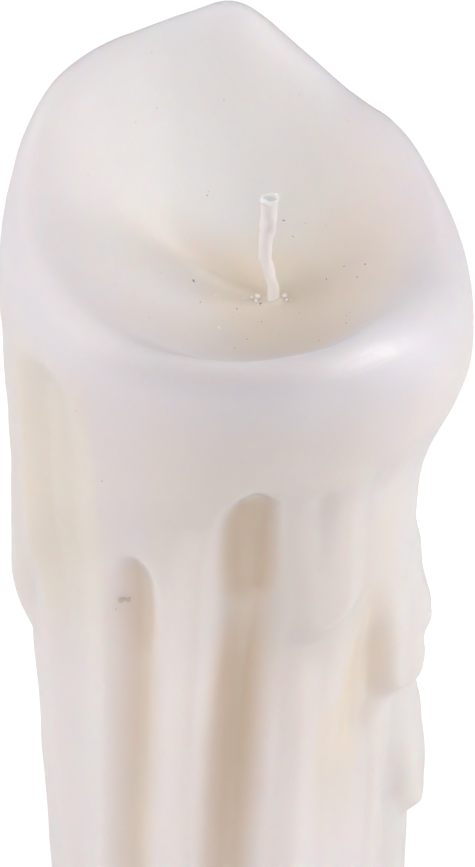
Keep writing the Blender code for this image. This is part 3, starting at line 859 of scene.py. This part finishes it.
wick_points = make_wick_points()
wick_mesh = grid_mesh("cotton_wick", wick_points, close_along=False)
# Painted shade: the hollow of the cut end is tinted grey.
painted_hollow_shade = np.zeros(wick_points.shape[:2])
painted_hollow_shade[:, -6:] = [0.2, 0.6, 0.9, 1.0, 1.0, 1.0]
add_value(wick_mesh, "painted_hollow_shade", painted_hollow_shade)
print("wick:", len(wick_mesh.polygons), "faces")

# %% The wick's material


def wick_material():
    material, tree, shader, node = new_material("waxed_cotton")
    link = tree.links.new
    place_in = node("TexCoord").outputs["Object"]
    strand = node("TexNoise", Scale=900.0, Detail=4.0)
    squash = node("Mapping")
    squash.inputs["Scale"].default_value = (1, 1, 0.25)
    link(place_in, squash.inputs["Vector"])
    link(squash.outputs["Vector"], strand.inputs["Vector"])
    colour = node("Mix", data_type="RGBA")
    colour.inputs["A"].default_value = (0.90, 0.85, 0.845, 1)
    colour.inputs["B"].default_value = (0.955, 0.925, 0.915, 1)
    link(strand.outputs["Fac"], colour.inputs["Factor"])
    # Painted shade in the end's hollow.
    painted_end_shade = node("Mix", data_type="RGBA")
    link(node("Attribute", attribute_name="painted_hollow_shade").outputs["Fac"], painted_end_shade.inputs["Factor"])
    link(colour.outputs["Result"], painted_end_shade.inputs["A"])
    painted_end_shade.inputs["B"].default_value = (0.76, 0.76, 0.76, 1)
    link(painted_end_shade.outputs["Result"], shader.inputs["Base Color"])
    shader.inputs["Subsurface Weight"].default_value = 0.4
    shader.inputs["Subsurface Radius"].default_value = (1.0, 0.8, 0.7)
    shader.inputs["Subsurface Scale"].default_value = 0.0008
    shader.inputs["Roughness"].default_value = 0.32
    bump = node("Bump", Strength=0.3, Distance=0.0001)
    link(strand.outputs["Fac"], bump.inputs["Height"])
    link(bump.outputs["Normal"], shader.inputs["Normal"])
    return material


cotton_wick = place(wick_mesh, wick_material())
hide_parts("wick")

# %% [markdown]
# ## Crumbs and soot
#
# The flame left its dirt behind: soft crumbs of wax at the wick's foot, flecks in the bowl, and specks of
# soot. Each is a ball pulled out of shape and pressed flat into the wax. All the balls of a kind are one
# stack of grids, so they make one mesh. The few that catch the eye have rows of their own, and the
# smallest are strewn by a seeded random generator.

# %% Places on the wax
LUMP_COLUMNS = 12
LUMP_STATIONS = 9


def bowl_ring(share):
    """Which ring of the body lies a share of the way from the wick to the crest."""
    return SIDE_RINGS + SHOULDER_RINGS - 1 + BOWL_RINGS * (1 - share ** (1 / BOWL_PACKING))


def side_ring(azimuth, height):
    """Which ring of the body lies at a height on the side."""
    top = around(CREST_HEIGHT, azimuth) - around(SHOULDER_DROP, azimuth)
    return (height - EDGE_ROUND) / (top - EDGE_ROUND) * (SIDE_RINGS - 1)


def on_skin(grid, azimuth, ring):
    """A grid's value between its points: each of the four nearest, by how near it is."""
    column = (azimuth + 180) / 360 * COLUMNS
    c, r = np.floor(column).astype(int), np.floor(ring).astype(int)
    s, t = (column - c)[:, None], (ring - r)[:, None]
    near, far = ((1 - t) * grid[k % COLUMNS, r] + t * grid[k % COLUMNS, r + 1] for k in (c, c + 1))
    return (1 - s) * near + s * far


def lumps(azimuth, ring, long, wide, high, sink=0.3):
    """Balls stretched along two directions in the skin, pulled about by sines and pressed in."""
    centre = on_skin(body, azimuth, ring)
    up = on_skin(body_normals, azimuth, ring)
    up /= np.linalg.norm(up, axis=1, keepdims=True)
    fore = np.cross(up, rng.normal(size=up.shape))
    fore /= np.linalg.norm(fore, axis=1, keepdims=True)
    beside = np.cross(up, fore)
    turn = np.linspace(0, 2 * np.pi, LUMP_COLUMNS, endpoint=False)[:, None, None]
    rise = np.linspace(-0.47, 0.47, LUMP_STATIONS)[:, None] * np.pi
    phase = rng.uniform(0, 2 * np.pi, (2, len(azimuth), 1, 1, 1))
    uneven = 1 + 0.22 * np.sin(2 * turn + phase[0]) * np.cos(rise)
    uneven += 0.12 * np.sin(3 * turn + 2 * rise + phase[1])
    long, wide, high, centre, up, fore, beside = (
        np.asarray(v).reshape(len(azimuth), 1, 1, -1) for v in (long, wide, high, centre, up, fore, beside))
    flat = np.cos(turn) * np.cos(rise) * long * fore + np.sin(turn) * np.cos(rise) * wide * beside
    return centre + uneven / 2 * (flat + (np.sin(rise) + sink) * high * up)


body_normals = grid_normals(body)
print("middle of the crease:", on_skin(body, np.array([-110.0]), bowl_ring(np.array([0.4]))).round(1))

# %% The crumbs and the flecks


def dirt_material(name, dark, light, size, roughness):
    """Two colours in clots of some size, with a dull rough skin."""
    material, tree, shader, node = new_material(name)
    clot = node("TexNoise", Scale=1 / size, Detail=2.0)
    tree.links.new(node("TexCoord").outputs["Object"], clot.inputs["Vector"])
    colour = node("Mix", data_type="RGBA")
    colour.inputs["A"].default_value = (*dark, 1)
    colour.inputs["B"].default_value = (*light, 1)
    tree.links.new(clot.outputs["Fac"], colour.inputs["Factor"])
    tree.links.new(colour.outputs["Result"], shader.inputs["Base Color"])
    bump = node("Bump", Strength=0.4, Distance=size / 4)
    tree.links.new(clot.outputs["Fac"], bump.inputs["Height"])
    tree.links.new(bump.outputs["Normal"], shader.inputs["Normal"])
    shader.inputs["Roughness"].default_value = roughness
    return material


CRUMBS = np.array([
    (-120, 0.052, 1.3, 1.0, 0.9), (-88, 0.050, 1.1, 0.8, 0.7), (-104, 0.072, 0.8, 0.6, 0.5),
    (-62, 0.050, 0.7, 0.5, 0.4), (110, 0.035, 1.0, 0.5, 1.1), (88, 0.050, 0.7, 0.5, 0.5),
    (-92, 0.100, 0.7, 0.5, 0.3), (-82, 0.230, 0.8, 0.4, 0.2), (-36, 0.330, 1.1, 0.5, 0.25),
    (-34, 0.350, 0.5, 0.3, 0.2), (90, 0.085, 0.5, 0.3, 0.2), (-58, 0.420, 0.4, 0.3, 0.2),
])
turn_at, share_at, long, wide, high = CRUMBS.T
crumb_mesh = grid_mesh("wax_crumbs", lumps(turn_at, bowl_ring(share_at), long, wide, high), close_along=False)
place(crumb_mesh, dirt_material("crumbled_wax", (0.92, 0.85, 0.81), (0.97, 0.95, 0.93), 0.0006, 0.5))
print("crumbs:", len(CRUMBS), "with", len(crumb_mesh.polygons), "faces")

# %% The soot specks
SPECKS = np.array([
    (-91, 0.32, 0.50), (-68, 0.31, 0.26), (-60, 0.155, 0.32), (-66, 0.036, 0.40), (-11, 0.145, 0.26),
    (-12, 0.32, 0.28), (-13, 0.45, 0.22), (162, 0.39, 0.36), (153, 0.35, 0.24), (103, 0.33, 0.28),
    (102, 0.44, 0.26), (92, 0.56, 0.36), (87, 0.51, 0.28), (50, 0.59, 0.26), (35, 0.51, 0.28),
    (-149, 0.47, 0.24),
])
SCATTERED = 40


def soot_lumps():
    """The specks listed one by one, and smaller ones strewn over the bowl."""
    azimuth = np.concatenate([SPECKS[:, 0], rng.uniform(-180, 180, SCATTERED)])
    share = np.concatenate([SPECKS[:, 1], rng.uniform(0.1, 0.95, SCATTERED)])
    size = np.concatenate([SPECKS[:, 2], rng.uniform(0.08, 0.18, SCATTERED)])
    return lumps(azimuth, bowl_ring(share), size * 1.2, size * 0.8, size * 0.4)


soot_mesh = grid_mesh("soot_specks", soot_lumps(), close_along=False)
place(soot_mesh, dirt_material("soot", (0.22, 0.16, 0.12), (0.48, 0.39, 0.32), 0.0004, 0.7))
print("soot specks:", len(SPECKS) + SCATTERED)

# %% The brown blotch beside the left groove
# A few brownish lumps pressed into the wax make a dark blotch by the left groove, with two small specks
# higher up.
BROWN_BLOTCH = np.array([
    (-33.2, 144.8, 1.4, 1.2), (-32.0, 144.6, 1.1, 0.9), (-34.6, 142.6, 0.4, 0.3), (-34, 175.5, 0.35, 0.3),
    (-40.5, 189, 0.3, 0.25),
])
turn_at, height_at, long, wide = BROWN_BLOTCH.T
blotch_lumps = lumps(turn_at, side_ring(turn_at, height_at), long, wide, 0.16 + 0 * long)
blotch_mesh = grid_mesh("brown_blotch", blotch_lumps, close_along=False)
blotch_wax = dirt_material("blotch_wax", (0.60, 0.51, 0.45), (0.72, 0.64, 0.58), 0.0005, 0.6)
place(blotch_mesh, blotch_wax)
print("scorched bits:", len(BROWN_BLOTCH))

# %% [markdown]
# ## The tab under the wick
#
# The tab is a stamped disc of tinned steel, which only shows from below. Its solid has the right form,
# so it keeps that and gets a metal finish, dull and slightly mottled.

# %% The tab's material


def tab_material():
    material, tree, shader, node = new_material("tinned_steel")
    link = tree.links.new
    place_in = node("TexCoord").outputs["Object"]
    mottle = node("TexNoise", Scale=300.0, Detail=4.0)
    link(place_in, mottle.inputs["Vector"])
    colour = node("Mix", data_type="RGBA")
    colour.inputs["A"].default_value = (0.50, 0.50, 0.49, 1)
    colour.inputs["B"].default_value = (0.72, 0.71, 0.69, 1)
    link(mottle.outputs["Fac"], colour.inputs["Factor"])
    link(colour.outputs["Result"], shader.inputs["Base Color"])
    shader.inputs["Metallic"].default_value = 1.0
    rough = node("MapRange", **{"To Min": 0.25, "To Max": 0.55})
    link(mottle.outputs["Fac"], rough.inputs["Value"])
    link(rough.outputs["Result"], shader.inputs["Roughness"])
    return material


tab = frame["nodes"]["wick_tab"]
tab.data.materials.clear()
tab.data.materials.append(tab_material())
print("tab", tab.name, "keeps its solid")
